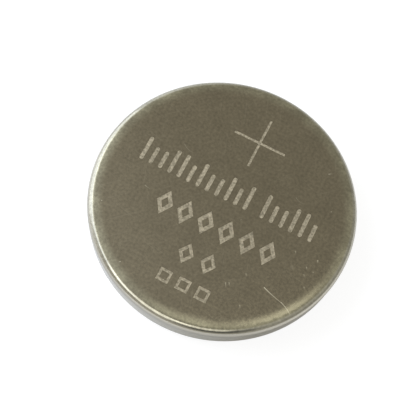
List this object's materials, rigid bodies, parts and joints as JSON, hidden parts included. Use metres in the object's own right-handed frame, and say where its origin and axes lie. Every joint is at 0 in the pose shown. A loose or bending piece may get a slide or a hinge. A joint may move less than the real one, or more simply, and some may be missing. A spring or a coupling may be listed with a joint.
{
  "type": "lithium coin cell",
  "caption": "Flat round lithium cell: a drawn positive can crimped over a seal ring and a stepped negative cap.",
  "frame": {"origin": "centre of the negative face, on the surface that the cell stands on", "axes": "+Z along the cell's axis, from the negative face to the positive face"},
  "size_m": [0.02, 0.02, 0.0032],
  "materials": {
    "can_plating": "satin nickel plating on steel",
    "cap_plating": "satin nickel plating on steel",
    "seal_plastic": "natural polypropylene, satin",
    "lithium_metal": "dull rolled metal",
    "separator_felt": "matt felt",
    "cathode_mix": "matt pressed powder",
    "collector_mesh": "bright expanded metal"
  },
  "bodies": {
    "root": {"positive_can": "can_plating", "negative_cap": "cap_plating", "seal_ring": "seal_plastic", "lithium_anode": "lithium_metal", "separator": "separator_felt", "cathode_pellet": "cathode_mix", "cathode_collector": "collector_mesh"}
  },
  "joints": []
}
